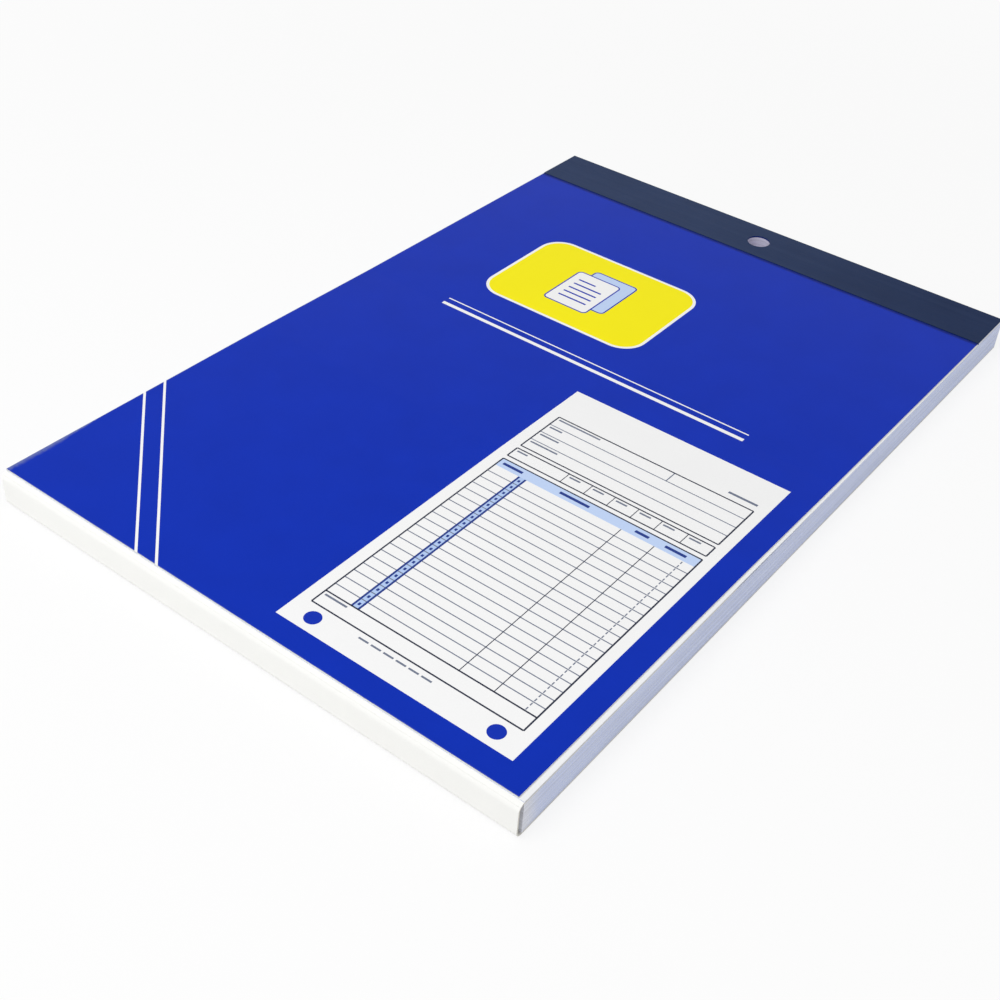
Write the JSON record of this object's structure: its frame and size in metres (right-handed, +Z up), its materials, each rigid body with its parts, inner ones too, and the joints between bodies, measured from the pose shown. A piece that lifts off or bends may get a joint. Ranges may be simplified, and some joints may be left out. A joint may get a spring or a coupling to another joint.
{
  "type": "duplicate receipt book",
  "caption": "Top-bound duplicate receipt book: blue card cover hinged at a taped head with a hang hole, two-part sheet sets and a white card wrapped round the foot.",
  "frame": {"origin": "middle of the closed book on the table, at the centre of the bottom of its bounding box", "axes": "+Z up from the table, +Y along the book to the bound head, +X to the right as the cover is read"},
  "size_m": [0.1412, 0.216, 0.0092],
  "materials": {
    "cover_blue": "coated print",
    "tape_navy": "matte tape",
    "sheet_edges": "uncoated edges",
    "staple_wire": "wire",
    "card_white": "smooth",
    "paper_white": "uncoated",
    "paper_tint": "uncoated"
  },
  "bodies": {
    "block": {"back_cover": "card_white", "stub_block": "sheet_edges", "cover_stub": "cover_blue", "binding_tape": "tape_navy", "staples": "staple_wire", "set_02": "sheet_edges", "set_03": "sheet_edges", "set_04": "sheet_edges", "set_05": "sheet_edges", "set_06": "sheet_edges", "set_07": "sheet_edges", "set_08": "sheet_edges", "set_09": "sheet_edges", "set_10": "sheet_edges", "set_11": "sheet_edges", "set_12": "sheet_edges", "set_13": "sheet_edges", "set_14": "sheet_edges", "set_15": "sheet_edges", "set_16": "sheet_edges", "set_17": "sheet_edges", "set_18": "sheet_edges", "set_19": "sheet_edges", "set_20": "sheet_edges", "set_21": "sheet_edges", "set_22": "sheet_edges", "set_23": "sheet_edges", "set_24": "sheet_edges", "set_25": "sheet_edges", "set_26": "sheet_edges", "set_27": "sheet_edges", "set_28": "sheet_edges", "set_29": "sheet_edges", "set_30": "sheet_edges", "set_31": "sheet_edges", "set_32": "sheet_edges", "set_33": "sheet_edges", "set_34": "sheet_edges", "set_35": "sheet_edges", "set_36": "sheet_edges", "set_37": "sheet_edges", "set_38": "sheet_edges", "set_39": "sheet_edges", "set_40": "sheet_edges", "set_41": "sheet_edges", "set_42": "sheet_edges", "set_43": "sheet_edges", "set_44": "sheet_edges", "set_45": "sheet_edges", "set_46": "sheet_edges", "set_47": "sheet_edges", "set_48": "sheet_edges", "set_49": "sheet_edges", "set_50": "sheet_edges"},
    "cover": {"front_cover": "cover_blue"},
    "original": {"original_leaf_01": "paper_white"},
    "duplicate": {"duplicate_leaf_01": "paper_tint"},
    "foot": {"foot_panel": "card_white"},
    "flap": {"tuck_flap": "card_white"}
  },
  "joints": [
    {"name": "cover_hinge", "type": "hinge", "parent": "block", "child": "cover", "pos_m": [0, 0.09185, 0.00891], "axis": [-1, 0, 0], "range_deg": [0, 180]},
    {"name": "original_turn", "type": "hinge", "parent": "block", "child": "original", "pos_m": [0, 0.08755, 0.00844], "axis": [-1, 0, 0], "range_deg": [0, 158.4]},
    {"name": "duplicate_turn", "type": "hinge", "parent": "block", "child": "duplicate", "pos_m": [0, 0.08755, 0.00844], "axis": [-1, 0, 0], "range_deg": [0, 147.6]},
    {"name": "foot_crease", "type": "hinge", "parent": "block", "child": "foot", "pos_m": [0, -0.10755, 0.00045], "axis": [1, 0, 0], "range_deg": [0, 90]},
    {"name": "flap_crease", "type": "hinge", "parent": "foot", "child": "flap", "pos_m": [0, -0.10755, 0.00821], "axis": [1, 0, 0], "range_deg": [0, 90]}
  ],
  "couplings": [
    {"joint": "original_turn", "follows": "cover_hinge", "ratio": 0.88},
    {"joint": "duplicate_turn", "follows": "cover_hinge", "ratio": 0.82},
    {"joint": "foot_crease", "follows": "cover_hinge", "ratio": 0.5},
    {"joint": "flap_crease", "follows": "cover_hinge", "ratio": 0.5}
  ]
}
